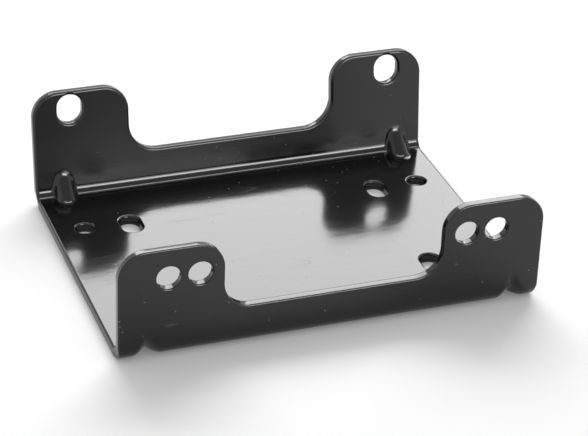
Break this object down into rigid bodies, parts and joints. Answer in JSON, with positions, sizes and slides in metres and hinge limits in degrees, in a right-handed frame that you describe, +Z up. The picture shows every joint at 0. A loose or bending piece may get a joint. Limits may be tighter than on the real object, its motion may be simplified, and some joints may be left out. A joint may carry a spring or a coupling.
{
  "type": "winch mounting plate",
  "caption": "Folded steel channel that bolts a small vehicle winch down on its base, carries the fairlead on its front lugs and fixes to the vehicle by its rear lugs.",
  "frame": {"origin": "underside of the base, midway between the centre lines of the two folds and midway along them", "axes": "+X along the folds, -Y towards the fairlead flange, +Z up from the base to the lugs"},
  "size_m": [0.198, 0.1546, 0.0566],
  "materials": {
    "black_coat": "gloss"
  },
  "bodies": {
    "root": {"mounting_plate": "black_coat"}
  },
  "joints": []
}
